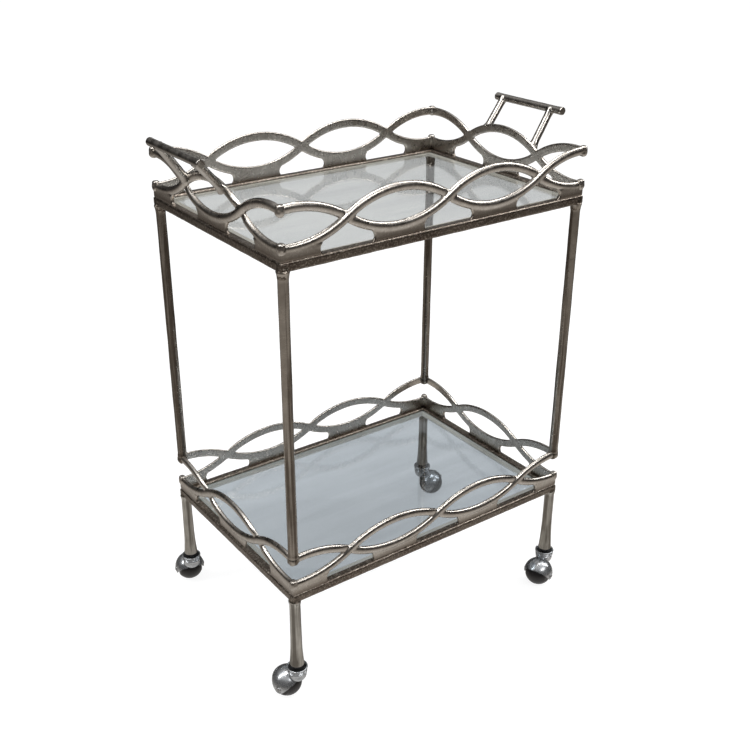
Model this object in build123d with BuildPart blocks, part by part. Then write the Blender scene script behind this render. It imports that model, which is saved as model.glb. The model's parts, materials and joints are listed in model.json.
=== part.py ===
from build123d import *
import math
import os

# Two-tier rolling bar cart. Welded metal frame: four posts join an upper and a lower tray, and
# each tray is a ring of four rails with a gallery of two interlaced waves standing on it and a
# glass panel lying inside. Four flared legs carry hooded ball casters.
# Frame: +X along the cart's length, +Y towards its back, +Z up; the origin is on the floor,
# under the middle of the four posts. All sizes are in millimetres.

os.makedirs("parts", exist_ok=True)

# Overall layout
HALF_X = 289.0  # post axis to the middle, along the length
HALF_Y = 196.0  # post axis to the middle, across
LOWER_RAIL_Z = 202.5  # underside of the lower rails
UPPER_RAIL_Z = 772.0  # underside of the upper rails

# Rails: rounded bars, mitred at the corners
RAIL_WIDTH = 15.0
RAIL_HEIGHT = 15.5
RAIL_ROUND = 3.0

# Galleries: two strands that cross in a chain of lenses, on webs that reach the rail
STRAND_WIDTH = 15.0
STRAND_DEPTH = 8.0
WEB_DEPTH = 5.0
WEB_HALF_LENGTH = 47.0
GALLERY_FACE = RAIL_WIDTH / 2  # outer face, measured outwards from the post axes
LOWER_CROSSING_Z = 260.4
UPPER_CROSSING_Z = 833.0
LOWER_RISE = 25.0  # strand's centre line at the middle of a lens, above the crossings
UPPER_RISE = 29.0
LONG_PITCH = 188.0  # from crossing to crossing
SHORT_PITCH = 180.0
LONG_SHIFT = 7.5  # the pattern sits off centre, towards the right seen from outside
SHORT_SHIFT = -4.0
LONG_CROSSINGS = 3
SHORT_CROSSINGS = 2

# Posts, legs and the bosses that the posts stand on
POST_RADIUS = 8.25
POST_FLARE_RADIUS = 9.6
POST_FLARE_HEIGHT = 14.0
BOSS_ROUND = 2.0
BOSS_HEIGHT = 18.5
LEG_TOP_RADIUS = 9.1
LEG_MIDDLE_RADIUS = 9.6
LEG_FOOT_RADIUS = 12.4
LEG_FOOT_Z = 72.5
LEG_FLARE_Z = 130.0

# Glass and its ledges
GLASS_THICKNESS = 5.0
GLASS_DROP = 3.5  # glass top below the rail top
GLASS_GAP = 1.0
GLASS_CORNER = 4.0
GLASS_EDGE = 0.6
LEDGE_WIDTH = 12.0
LEDGE_THICKNESS = 3.0

# Handles: a grip rod held out from the gallery by two leaning arms
GRIP_RADIUS = 7.1
GRIP_OUT = 50.4  # grip axis, outwards from the post axes
GRIP_Z = 904.3
GRIP_LEFT = -100.0  # ends, seen from outside
GRIP_RIGHT = 68.0
GRIP_END_ROUND = 2.0
ARM_RADIUS = 6.8
ARM_FEET = {"left": -77.0, "right": 42.5}
ARM_HEADS = {"left": -71.5, "right": 50.0}
ARM_FOOT_OUT = 5.5
ARM_FOOT_LIFT = 2.3  # foot's centre above the strand's centre line

# Casters
BALL_RADIUS = 25.5
BALL_HALF_WIDTH = 21.0
HUB_RADIUS = 6.0
HUB_HALF_WIDTH = 25.2
SWIVEL_OFFSET = 21.3  # ball centre to the leg's axis
HOOD_INNER_RADIUS = 26.5
HOOD_OUTER_RADIUS = 28.3
EAR_RADIUS = 8.5
RIM_OUTER_ANGLE = 50.0  # how steeply the hood's rim climbs from the ears, away from the leg
RIM_INNER_ANGLE = 45.0  # and towards the leg
EAR_FACE = 27.6
SPOT_FACE_RADIUS = 5.5
AXLE_RADIUS = 2.5
AXLE_HEAD_RADIUS = 4.5
AXLE_HEAD_HEIGHT = 1.6
RUNNING_CLEARANCE = 0.05
STEM_RADIUS = 4.0
STEM_FOOT_Z = 51.0
STEM_TOP_Z = 102.5
SOCKET_RADIUS = 6.5
SOCKET_LENGTH = 32.0
SOCKET_FLANGE_RADIUS = 11.0
SOCKET_FLANGE_HEIGHT = 3.0
BORE_DEPTH = 35.0
COLLAR_TOP_Z = 67.0
COLLAR_FLOOR_Z = 62.0
COLLAR_FOOT_Z = 40.0
COLLAR_MOUTH_RADIUS = 15.5
COLLAR_LIP_RADIUS = 18.0
COLLAR_WAIST_RADIUS = 16.4
COLLAR_RIB_RADIUS = 17.2
COLLAR_FOOT_RADIUS = 9.5

UP = (0, 0, 1)

# Each side: direction along it from left to right seen from outside, and its outward direction
SIDES = {
    "front": (Vector(1, 0, 0), Vector(0, -1, 0)),
    "right": (Vector(0, 1, 0), Vector(1, 0, 0)),
    "back": (Vector(-1, 0, 0), Vector(0, 1, 0)),
    "left": (Vector(0, -1, 0), Vector(-1, 0, 0)),
}
TIERS = {
    "lower": (LOWER_RAIL_Z, LOWER_CROSSING_Z, LOWER_RISE),
    "upper": (UPPER_RAIL_Z, UPPER_CROSSING_Z, UPPER_RISE),
}
# Each corner: its place, and the compass angle to which its caster trails
CORNERS = {
    "front_left": (-HALF_X, -HALF_Y, 116.0),
    "front_right": (HALF_X, -HALF_Y, 201.0),
    "back_left": (-HALF_X, HALF_Y, 79.0),
    "back_right": (HALF_X, HALF_Y, 307.0),
}


def finish(piece, name):
    """Label a finished piece and write it to its own file."""
    piece.part.label = name
    export_step(piece.part, f"parts/{name}.step")


def is_long(side):
    return side in ("front", "back")


def half_length(side):
    """Half of the distance between the post axes, along a side."""
    return HALF_X if is_long(side) else HALF_Y


def half_distance(side):
    """Distance of the side's post axes from the middle of the cart."""
    return HALF_Y if is_long(side) else HALF_X


def side_point(side, along, out, height):
    """A point given along a side, outwards from its post axes, and above the floor."""
    right, outward = SIDES[side]
    return right * along + outward * (half_distance(side) + out) + Vector(0, 0, height)


def side_plane(side, out):
    """The upright plane parallel to a side: x to the right seen from outside, y up."""
    right, outward = SIDES[side]
    return Plane(origin=side_point(side, 0, out, 0), x_dir=right, z_dir=outward)


def mitre_corners(side, inner, outer):
    """Plan of a bar along a side, between two distances from the post axes, mitred at its ends."""
    reach = half_length(side)
    return [
        side_point(side, -reach - inner, inner, 0),
        side_point(side, reach + inner, inner, 0),
        side_point(side, reach + outer, outer, 0),
        side_point(side, -reach - outer, outer, 0),
    ]


def make_rail(side, bottom):
    """One rounded bar of a tray's ring, mitred at both ends."""
    reach = half_length(side) + RAIL_WIDTH
    right, outward = SIDES[side]
    end = right * -reach + outward * half_distance(side) + Vector(0, 0, bottom + RAIL_HEIGHT / 2)
    with BuildPart() as rail:
        with BuildSketch(Plane(origin=end, x_dir=outward, z_dir=right)):
            RectangleRounded(RAIL_WIDTH, RAIL_HEIGHT, RAIL_ROUND)
        extrude(amount=2 * reach)
        with BuildSketch(Plane.XY.offset(bottom)):
            Polygon(*mitre_corners(side, -RAIL_WIDTH / 2, RAIL_WIDTH / 2), align=None)
        extrude(amount=RAIL_HEIGHT, mode=Mode.INTERSECT)
    return rail


def crossings(side):
    """Places along a side where the two strands cross."""
    if is_long(side):
        count, pitch, shift = LONG_CROSSINGS, LONG_PITCH, LONG_SHIFT
    else:
        count, pitch, shift = SHORT_CROSSINGS, SHORT_PITCH, SHORT_SHIFT
    return [shift + (i - (count - 1) / 2) * pitch for i in range(count)], pitch


def lens_middles(side):
    """Middles of the lenses along a side, the cut-off ones at the corners included."""
    places, pitch = crossings(side)
    return [places[0] - pitch / 2] + [place + pitch / 2 for place in places]


def strand_height(along, middle, pitch, rise):
    """Height above the crossings of a strand's arc over a lens, at a place along the side."""
    radius = (pitch**2 / 4 + rise**2) / (2 * rise)
    return math.sqrt(radius**2 - (along - middle) ** 2) - radius + rise


def strand_line(side, crossing_z, rise, first_sign):
    """One strand's centre line: arcs that curve up and down by turns, tangent at the crossings."""
    places, pitch = crossings(side)
    end = half_length(side) + RAIL_WIDTH
    ends = [-end, *places, end]
    sign = first_sign
    for middle, start, stop in zip(lens_middles(side), ends[:-1], ends[1:]):
        points = []
        for along in (start, middle, stop):
            lift = sign * strand_height(along, middle, pitch, rise)
            points.append((along, crossing_z + lift))
        ThreePointArc(*points)
        sign = -sign


def make_gallery(side, rail_top, crossing_z, rise):
    """Two interlaced strands, with the webs that join their low arches to the rail."""
    places = lens_middles(side)
    end = half_length(side) + GALLERY_FACE
    inner = GALLERY_FACE - STRAND_DEPTH
    low_line = crossing_z - rise
    with BuildPart() as gallery:
        for first_sign in (1, -1):
            with BuildSketch(side_plane(side, inner)):
                with BuildLine():
                    strand_line(side, crossing_z, rise, first_sign)
                trace(line_width=STRAND_WIDTH)
            extrude(amount=STRAND_DEPTH)
        with BuildSketch(side_plane(side, inner)):
            for i, middle in enumerate(places):
                left = -end if i == 0 else middle - WEB_HALF_LENGTH
                right = end if i == len(places) - 1 else middle + WEB_HALF_LENGTH
                with Locations(((left + right) / 2, (rail_top + low_line) / 2)):
                    Rectangle(right - left, low_line - rail_top)
        extrude(amount=WEB_DEPTH)
        with BuildSketch(Plane.XY.offset(rail_top)):
            Polygon(*mitre_corners(side, inner, GALLERY_FACE), align=None)
        extrude(amount=2 * rise + 3 * STRAND_WIDTH, mode=Mode.INTERSECT)
    return gallery


def make_ledge(glass_bottom):
    """Four flat bars, mitred into a ring inside the rails, that the glass lies on."""
    outer = -RAIL_WIDTH / 2
    with BuildPart() as ledge:
        for side in SIDES:
            with BuildSketch(Plane.XY.offset(glass_bottom - LEDGE_THICKNESS)):
                Polygon(*mitre_corners(side, outer - LEDGE_WIDTH, outer), align=None)
            extrude(amount=LEDGE_THICKNESS)
    return ledge


def make_glass(bottom):
    """A drop-in panel with eased edges."""
    with BuildPart() as glass:
        with BuildSketch(Plane.XY.offset(bottom)):
            RectangleRounded(
                2 * (HALF_X - RAIL_WIDTH / 2 - GLASS_GAP),
                2 * (HALF_Y - RAIL_WIDTH / 2 - GLASS_GAP),
                GLASS_CORNER,
            )
        extrude(amount=GLASS_THICKNESS)
        flat_faces = glass.faces().filter_by(Axis.Z)
        chamfer(flat_faces.edges(), length=GLASS_EDGE)
    return glass


def corner_plane(x, y):
    """The upright plane through a leg's axis: x outwards from the axis, y up."""
    return Plane(origin=(x, y, 0), x_dir=(1, 0, 0), z_dir=(0, -1, 0))


def make_post(x, y, bottom, top):
    """A round bar that flares a little where it is welded under the upper tray."""
    flare_z = top - POST_FLARE_HEIGHT
    with BuildPart() as post:
        with BuildSketch(corner_plane(x, y)):
            with BuildLine():
                Polyline((0, top), (0, bottom), (POST_RADIUS, bottom), (POST_RADIUS, flare_z))
                TangentArc((POST_RADIUS, flare_z), (POST_FLARE_RADIUS, top), tangent=(0, 1))
                Line((POST_FLARE_RADIUS, top), (0, top))
            make_face()
        revolve(axis=Axis((x, y, 0), UP))
    return post


def make_leg(x, y):
    """A leg that flares towards its foot, bored for the caster's socket."""
    with BuildPart() as leg:
        with BuildSketch(corner_plane(x, y)):
            with BuildLine():
                side_line = Line((LEG_TOP_RADIUS, LOWER_RAIL_Z), (LEG_MIDDLE_RADIUS, LEG_FLARE_Z))
                TangentArc(side_line @ 1, (LEG_FOOT_RADIUS, LEG_FOOT_Z), tangent=side_line % 1)
                Polyline((LEG_FOOT_RADIUS, LEG_FOOT_Z), (0, LEG_FOOT_Z), (0, LOWER_RAIL_Z), side_line @ 0)
            make_face()
        revolve(axis=Axis((x, y, 0), UP))
        with BuildSketch(Plane.XY.offset(LEG_FOOT_Z)):
            with Locations((x, y)):
                Circle(SOCKET_RADIUS)
        extrude(amount=BORE_DEPTH, mode=Mode.SUBTRACT)
    return leg


def make_grip(side):
    """The rod of a handle, parallel to its side."""
    start = side_point(side, GRIP_LEFT, GRIP_OUT, GRIP_Z)
    with BuildPart() as grip:
        with BuildSketch(Plane(origin=start, z_dir=SIDES[side][0])):
            Circle(GRIP_RADIUS)
        extrude(amount=GRIP_RIGHT - GRIP_LEFT)
        fillet(grip.edges().filter_by(GeomType.CIRCLE), radius=GRIP_END_ROUND)
    return grip


def make_arm(side, end, grip, gallery):
    """A leaning rod from the gallery's middle arch up to the grip, trimmed to both."""
    places, pitch = crossings(side)
    foot_along = ARM_FEET[end]
    middle = (places[0] + places[1]) / 2
    arch_z = UPPER_CROSSING_Z + strand_height(foot_along, middle, pitch, UPPER_RISE)
    foot = side_point(side, foot_along, ARM_FOOT_OUT, arch_z + ARM_FOOT_LIFT)
    head = side_point(side, ARM_HEADS[end], GRIP_OUT, GRIP_Z)
    with BuildPart() as arm:
        with BuildSketch(Plane(origin=foot, z_dir=head - foot)):
            Circle(ARM_RADIUS)
        extrude(amount=(head - foot).length)
        add(grip.part, mode=Mode.SUBTRACT)
        add(gallery.part, mode=Mode.SUBTRACT)
    return arm


def ball_centre(x, y, trail):
    angle = math.radians(trail)
    return Vector(x + SWIVEL_OFFSET * math.cos(angle), y + SWIVEL_OFFSET * math.sin(angle), BALL_RADIUS)


def trail_plane(x, y, trail):
    """The upright plane through a ball's centre: x away from the leg, y up, normal to the axle."""
    angle = math.radians(trail)
    return Plane(
        origin=ball_centre(x, y, trail),
        x_dir=(math.cos(angle), math.sin(angle), 0),
        z_dir=(math.sin(angle), -math.cos(angle), 0),
    )


def rim_line(angle, sign, reach):
    """One side of the hood's rim in side view: from the round ear, which it touches, outwards."""
    slope = math.radians(angle)
    start = (sign * EAR_RADIUS * math.sin(slope), -EAR_RADIUS * math.cos(slope))
    rise = (reach - abs(start[0])) * math.tan(slope)
    return start, (sign * reach, start[1] + rise)


def make_hood(x, y, trail):
    """A thin dome over the ball, with two ears that hold the axle."""
    plane = trail_plane(x, y, trail)
    axle_plane = Plane(origin=plane.origin, x_dir=plane.z_dir, z_dir=plane.x_dir)
    reach = HOOD_OUTER_RADIUS + 3
    outer_start, outer_end = rim_line(RIM_OUTER_ANGLE, 1, reach)
    inner_start, inner_end = rim_line(RIM_INNER_ANGLE, -1, reach)
    with BuildPart() as hood:
        with BuildSketch(axle_plane):
            with BuildLine():
                CenterArc((0, 0), HOOD_OUTER_RADIUS, 0, 180)
                CenterArc((0, 0), HOOD_INNER_RADIUS, 0, 180)
                Line((-HOOD_OUTER_RADIUS, 0), (-HOOD_INNER_RADIUS, 0))
                Line((HOOD_OUTER_RADIUS, 0), (HOOD_INNER_RADIUS, 0))
            make_face()
        revolve(axis=Axis(plane.origin, plane.z_dir))
        with BuildSketch(plane):
            with BuildLine():
                ThreePointArc(inner_start, (0, -EAR_RADIUS), outer_start)
                Polyline(outer_start, outer_end, (reach, reach), (-reach, reach), inner_end, inner_start)
            make_face()
        extrude(amount=reach, both=True, mode=Mode.INTERSECT)
        with BuildSketch(plane):
            Circle(AXLE_RADIUS)
        extrude(amount=HOOD_OUTER_RADIUS, both=True, mode=Mode.SUBTRACT)
        for side in (1, -1):
            with BuildSketch(plane.offset(side * EAR_FACE)):
                Circle(SPOT_FACE_RADIUS)
            extrude(amount=side * HOOD_OUTER_RADIUS, mode=Mode.SUBTRACT)
    return hood


def make_collar(x, y, trail):
    """A ribbed cup around the leg's axis, saddled on the hood and bored for the stem."""
    profile = [
        (0, COLLAR_FLOOR_Z),
        (COLLAR_MOUTH_RADIUS - 1.5, COLLAR_FLOOR_Z),
        (COLLAR_MOUTH_RADIUS, COLLAR_TOP_Z - 0.8),
        (COLLAR_LIP_RADIUS - 1.2, COLLAR_TOP_Z),
        (COLLAR_LIP_RADIUS, COLLAR_TOP_Z - 0.8),
        (COLLAR_LIP_RADIUS, COLLAR_TOP_Z - 2.4),
        (COLLAR_WAIST_RADIUS, COLLAR_TOP_Z - 3.2),
        (COLLAR_WAIST_RADIUS, COLLAR_TOP_Z - 4.2),
        (COLLAR_RIB_RADIUS, COLLAR_TOP_Z - 4.8),
        (COLLAR_RIB_RADIUS, COLLAR_TOP_Z - 6.4),
        (COLLAR_WAIST_RADIUS, COLLAR_TOP_Z - 7.0),
        (COLLAR_WAIST_RADIUS, COLLAR_TOP_Z - 8.0),
        (COLLAR_RIB_RADIUS - 0.4, COLLAR_TOP_Z - 8.6),
        (COLLAR_RIB_RADIUS - 0.4, COLLAR_TOP_Z - 10.2),
        (COLLAR_WAIST_RADIUS - 0.6, COLLAR_TOP_Z - 11.0),
        (COLLAR_WAIST_RADIUS - 2.0, COLLAR_TOP_Z - 15.5),
        (COLLAR_FOOT_RADIUS, COLLAR_FOOT_Z),
        (0, COLLAR_FOOT_Z),
    ]
    with BuildPart() as collar:
        with BuildSketch(corner_plane(x, y)):
            with BuildLine():
                Polyline(*profile, close=True)
            make_face()
        revolve(axis=Axis((x, y, 0), UP))
        with Locations(ball_centre(x, y, trail)):
            Sphere(HOOD_OUTER_RADIUS, mode=Mode.SUBTRACT)
        with BuildSketch(Plane.XY.offset(STEM_FOOT_Z)):
            with Locations((x, y)):
                Circle(STEM_RADIUS)
        extrude(amount=COLLAR_TOP_Z - STEM_FOOT_Z, mode=Mode.SUBTRACT)
    return collar


def make_stem(x, y):
    """The swivel pin, fixed in the collar and free to turn in the leg's socket."""
    with BuildPart() as stem:
        with BuildSketch(Plane.XY.offset(STEM_FOOT_Z)):
            with Locations((x, y)):
                Circle(STEM_RADIUS)
        extrude(amount=STEM_TOP_Z - STEM_FOOT_Z)
        top_edge = stem.edges().sort_by(Axis.Z)[-1]
        chamfer(top_edge, length=1)
    return stem


def make_socket(x, y):
    """A flanged sleeve pushed into the leg."""
    with BuildPart() as socket:
        with BuildSketch(Plane.XY.offset(LEG_FOOT_Z - SOCKET_FLANGE_HEIGHT)):
            with Locations((x, y)):
                Circle(SOCKET_FLANGE_RADIUS)
        extrude(amount=SOCKET_FLANGE_HEIGHT)
        with BuildSketch(Plane.XY.offset(LEG_FOOT_Z)):
            with Locations((x, y)):
                Circle(SOCKET_RADIUS)
        extrude(amount=SOCKET_LENGTH)
        with BuildSketch(Plane.XY.offset(LEG_FOOT_Z - SOCKET_FLANGE_HEIGHT)):
            with Locations((x, y)):
                Circle(STEM_RADIUS + RUNNING_CLEARANCE)
        extrude(amount=SOCKET_LENGTH + SOCKET_FLANGE_HEIGHT, mode=Mode.SUBTRACT)
    return socket


def make_axle(x, y, trail):
    """The riveted pin through both ears and the ball."""
    plane = trail_plane(x, y, trail)
    with BuildPart() as axle:
        with BuildSketch(plane):
            Circle(AXLE_RADIUS)
        extrude(amount=EAR_FACE, both=True)
        for side in (1, -1):
            with BuildSketch(plane.offset(side * EAR_FACE)):
                Circle(AXLE_HEAD_RADIUS)
            extrude(amount=side * AXLE_HEAD_HEIGHT, taper=30)
    return axle


def make_ball(x, y, trail):
    """The ball wheel: a sphere with flat sides and a hub, free to turn on the axle."""
    plane = trail_plane(x, y, trail)
    bore = AXLE_RADIUS + RUNNING_CLEARANCE
    flat = math.sqrt(BALL_RADIUS**2 - BALL_HALF_WIDTH**2)
    with BuildPart() as ball:
        with BuildSketch(Plane(origin=plane.origin, x_dir=plane.z_dir, z_dir=plane.x_dir)):
            with BuildLine():
                ThreePointArc((-BALL_HALF_WIDTH, flat), (0, BALL_RADIUS), (BALL_HALF_WIDTH, flat))
                for side in (1, -1):
                    Polyline(
                        (side * BALL_HALF_WIDTH, flat),
                        (side * BALL_HALF_WIDTH, HUB_RADIUS),
                        (side * HUB_HALF_WIDTH, HUB_RADIUS),
                        (side * HUB_HALF_WIDTH, bore),
                    )
                Line((-HUB_HALF_WIDTH, bore), (HUB_HALF_WIDTH, bore))
            make_face()
        revolve(axis=Axis(plane.origin, plane.z_dir))
    return ball


# Bosses under the four posts, where the lower gallery's strands meet at the corners
boss_top = LOWER_CROSSING_Z + LOWER_RISE + STRAND_WIDTH / 2
with BuildPart() as post_bosses:
    with BuildSketch(Plane.XY.offset(boss_top - BOSS_HEIGHT)):
        with GridLocations(2 * HALF_X, 2 * HALF_Y, 2, 2):
            RectangleRounded(2 * POST_RADIUS, 2 * POST_RADIUS, BOSS_ROUND)
    extrude(amount=BOSS_HEIGHT)
finish(post_bosses, "post_bosses")

# Trays
galleries = {}
for tier, (rail_z, crossing_z, rise) in TIERS.items():
    rail_top = rail_z + RAIL_HEIGHT
    for side in SIDES:
        finish(make_rail(side, rail_z), f"{tier}_rail_{side}")
        gallery = make_gallery(side, rail_top, crossing_z, rise)
        if tier == "lower":
            with BuildPart() as trimmed:
                add(gallery.part)
                add(post_bosses.part, mode=Mode.SUBTRACT)
            gallery = trimmed
        finish(gallery, f"{tier}_gallery_{side}")
        galleries[tier, side] = gallery
    glass_z = rail_top - GLASS_DROP - GLASS_THICKNESS
    finish(make_ledge(glass_z), f"{tier}_ledge")
    finish(make_glass(glass_z), f"{tier}_glass")

# Handles
for side in ("left", "right"):
    grip = make_grip(side)
    finish(grip, f"handle_grip_{side}")
    for end in ARM_FEET:
        arm = make_arm(side, end, grip, galleries["upper", side])
        # The left end seen from outside is at the front on the right side, and the reverse
        place = "front" if (side == "right") == (end == "left") else "back"
        finish(arm, f"handle_arm_{side}_{place}")

# Posts, legs and casters
for corner, (x, y, trail) in CORNERS.items():
    finish(make_post(x, y, boss_top, UPPER_RAIL_Z), f"post_{corner}")
    finish(make_leg(x, y), f"leg_{corner}")
    finish(make_socket(x, y), f"caster_socket_{corner}")
    finish(make_stem(x, y), f"caster_stem_{corner}")
    finish(make_collar(x, y, trail), f"caster_collar_{corner}")
    finish(make_hood(x, y, trail), f"caster_hood_{corner}")
    finish(make_axle(x, y, trail), f"caster_axle_{corner}")
    finish(make_ball(x, y, trail), f"caster_ball_{corner}")
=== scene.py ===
import json
import math

import bmesh
import bpy
from mathutils import Matrix, Vector, noise


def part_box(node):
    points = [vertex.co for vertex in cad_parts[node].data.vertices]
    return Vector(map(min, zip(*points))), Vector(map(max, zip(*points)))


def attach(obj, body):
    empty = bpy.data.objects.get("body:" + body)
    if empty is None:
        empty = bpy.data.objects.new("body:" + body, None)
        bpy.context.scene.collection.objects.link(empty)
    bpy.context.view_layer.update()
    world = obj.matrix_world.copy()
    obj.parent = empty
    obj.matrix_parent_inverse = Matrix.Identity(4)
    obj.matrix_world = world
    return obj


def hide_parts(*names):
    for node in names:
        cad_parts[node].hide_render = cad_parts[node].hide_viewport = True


# Looks of the two-tier bar cart: cast antique-nickel galleries, pitted rails, streaked posts,
# tinted glass and chromed ball casters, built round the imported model. All sizes are in metres.

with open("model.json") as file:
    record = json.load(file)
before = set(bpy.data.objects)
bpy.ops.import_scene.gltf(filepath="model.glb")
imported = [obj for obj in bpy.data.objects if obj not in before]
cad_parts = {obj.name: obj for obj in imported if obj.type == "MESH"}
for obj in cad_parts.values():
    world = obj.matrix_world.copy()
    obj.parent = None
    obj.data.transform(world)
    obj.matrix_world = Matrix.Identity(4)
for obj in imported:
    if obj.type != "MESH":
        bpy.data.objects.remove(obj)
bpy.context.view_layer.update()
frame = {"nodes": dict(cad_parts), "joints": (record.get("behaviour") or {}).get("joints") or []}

UP = Vector((0, 0, 1))

# Each side: direction along it from left to right seen from outside, and its outward direction
SIDES = {
    "front": (Vector((1, 0, 0)), Vector((0, -1, 0))),
    "right": (Vector((0, 1, 0)), Vector((1, 0, 0))),
    "back": (Vector((-1, 0, 0)), Vector((0, 1, 0))),
    "left": (Vector((0, -1, 0)), Vector((-1, 0, 0))),
}
TIERS = ("upper", "lower")
CORNERS = ("front_left", "front_right", "back_left", "back_right")


def middle(node):
    low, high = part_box(node)
    return (low + high) / 2


# Places taken from the frame
HALF_X = middle("post_front_right").x  # post axes
HALF_Y = middle("post_back_right").y
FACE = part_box("upper_rail_front")[1].x - HALF_X  # outer face, outwards from the post axes
RAIL_TOP = {tier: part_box(f"{tier}_rail_front")[1].z for tier in TIERS}
RAIL_BOTTOM = {tier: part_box(f"{tier}_rail_front")[0].z for tier in TIERS}
GALLERY_TOP = {tier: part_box(f"{tier}_gallery_front")[1].z for tier in TIERS}

# Galleries, as in the model
STRAND_WIDTH = 0.015
STRAND_DEPTH = 0.008
RISE = {"upper": 0.029, "lower": 0.025}
LONG_PITCH = 0.188
SHORT_PITCH = 0.180
LONG_SHIFT = 0.0075
SHORT_SHIFT = -0.004
LONG_CROSSINGS = 3
SHORT_CROSSINGS = 2
WEB_HALF_LENGTH = 0.046
WEB_DEPTH = 0.0050
CORNER_WEB_DEPTH = 0.0068
WEB_END_SWELL = 0.0045
OVER_CREST = 0.0002  # how far a strand swells outwards where it passes over the other
UNDER_CREST = 0.0036  # and how far it sinks where it passes under
BASE_CREST = 0.0008  # crest of a plain stretch, inside the outer face
CREST_REACH = 0.013  # how far from a crossing that swelling reaches
SIDE_OVERRUN = 2 * FACE  # how far a side's piece runs past the post axes before it is mitred
CROSSING_HEIGHT = {tier: GALLERY_TOP[tier] - RISE[tier] - STRAND_WIDTH / 2 for tier in TIERS}
VOXEL = 0.0011

# Painted shade on the webs just above each rail, where they meet it: it starts this far above a rail, and
# is full this far above it
RAIL_SHADE_TOP = 0.011
RAIL_SHADE_FULL = 0.003

# Posts and legs
POST_RADIUS = 0.00825
POST_SWELL_HEIGHT = 0.016
LEG_TOP_RADIUS = 0.0091
LEG_WAIST_RADIUS = 0.0096
LEG_FLARE_Z = 0.130
LEG_BORE_RADIUS = 0.0065
LEG_BORE_DEPTH = 0.03

# Casters
HOOD_RADIUS = 0.0281
HOOD_WALL = 0.0016
EAR_RADIUS = 0.0085
EAR_FACE = 0.0276
EAR_GROOVE_DEPTH = 0.0009
RIM_OUTER = math.radians(50)
RIM_INNER = math.radians(45)
COLLAR_TOP = 0.067
AXLE_RADIUS = 0.0025
BALL_RADIUS = 0.0255
BALL_HALF_WIDTH = 0.021
BALL_BORE_RADIUS = 0.00255
HUB_RADIUS = 0.006
HUB_HALF_WIDTH = 0.0244  # short of the grooves that are pressed into the ears

# Camera
CAMERA_AT = Vector((-0.9835, -1.3705, 1.2710))
CAMERA_FORWARD = Vector((0.5295, 0.7278, -0.4359))
CAMERA_LENS = 49.6
CAMERA_ROLL = 0.0047


# ---------------------------------------------------------------- meshes


def rings_to_mesh(rings, capped=True):
    """Points and faces of a tube through equal rings of points."""
    size = len(rings[0])
    points = [p for ring in rings for p in ring]
    faces = []
    for i in range(len(rings) - 1):
        for j in range(size):
            a = i * size + j
            b = i * size + (j + 1) % size
            faces.append((a, b, b + size, a + size))
    if capped:
        faces.append(tuple(reversed(range(size))))
        faces.append(tuple((len(rings) - 1) * size + j for j in range(size)))
    return points, faces


def join(parts):
    """Several sets of points and faces as one."""
    points, faces = [], []
    for part_points, part_faces in parts:
        start = len(points)
        points += part_points
        faces += [tuple(start + i for i in face) for face in part_faces]
    return points, faces


def turned(profile, foot, axis=UP, segments=48):
    """A solid turned about an axis: the profile lists (distance from the axis, height along it)."""
    across = axis.orthogonal().normalized()
    other = axis.cross(across)
    rings = []
    for radius, height in profile:
        ring = []
        for k in range(segments):
            angle = 2 * math.pi * k / segments
            spoke = across * math.cos(angle) + other * math.sin(angle)
            ring.append(foot + axis * height + spoke * max(radius, 1e-5))
        rings.append(ring)
    return rings_to_mesh(rings)


def rod(path, radii, segments=24):
    """A round bar through a list of points, with a radius at each."""
    rings = []
    for i, point in enumerate(path):
        ahead = (path[min(i + 1, len(path) - 1)] - path[max(i - 1, 0)]).normalized()
        if i == 0:
            across = ahead.orthogonal().normalized()
        else:
            across = (across - ahead * across.dot(ahead)).normalized()
        other = ahead.cross(across)
        turn = [2 * math.pi * k / segments for k in range(segments)]
        rings.append([point + (across * math.cos(t) + other * math.sin(t)) * radii[i] for t in turn])
    return rings_to_mesh(rings)


def make_object(name, shape):
    points, faces = shape
    mesh = bpy.data.meshes.new(name)
    mesh.from_pydata([tuple(p) for p in points], [], faces)
    bm = bmesh.new()
    bm.from_mesh(mesh)
    bmesh.ops.remove_doubles(bm, verts=bm.verts, dist=1e-6)
    bmesh.ops.recalc_face_normals(bm, faces=bm.faces)
    bm.to_mesh(mesh)
    bm.free()
    piece = bpy.data.objects.new(name, mesh)
    bpy.context.scene.collection.objects.link(piece)
    return piece


def apply_modifiers(piece):
    """Replace the piece's mesh by what its modifiers make of it."""
    depsgraph = bpy.context.evaluated_depsgraph_get()
    mesh = bpy.data.meshes.new_from_object(piece.evaluated_get(depsgraph))
    piece.modifiers.clear()
    piece.data = mesh


def fuse(piece, voxel=VOXEL, smoothing=4):
    """Melt overlapping solids into one skin, with soft fillets where they meet."""
    remesh = piece.modifiers.new("fuse", "REMESH")
    remesh.mode = "VOXEL"
    remesh.voxel_size = voxel
    smooth = piece.modifiers.new("smooth", "SMOOTH")
    smooth.factor = 0.5
    smooth.iterations = smoothing
    apply_modifiers(piece)


def ripple(piece, *waves, swell=0.0):
    """Cast unevenness: each wave is (depth, length), and moves the skin along its normals."""
    mesh = piece.data
    moved = []
    for vertex in mesh.vertices:
        shift = swell
        for depth, length in waves:
            shift += depth * noise.noise(vertex.co / length)
        moved.extend(vertex.co + vertex.normal * shift)
    mesh.vertices.foreach_set("co", moved)
    mesh.update()


def cut(piece, point, outwards):
    """Cut a piece flat at a plane, and close it there."""
    bm = bmesh.new()
    bm.from_mesh(piece.data)
    everything = bm.verts[:] + bm.edges[:] + bm.faces[:]
    bmesh.ops.bisect_plane(bm, geom=everything, plane_co=point, plane_no=outwards, clear_outer=True)
    open_edges = [edge for edge in bm.edges if edge.is_boundary]
    bmesh.ops.holes_fill(bm, edges=open_edges)
    bm.to_mesh(piece.data)
    bm.free()


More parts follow.
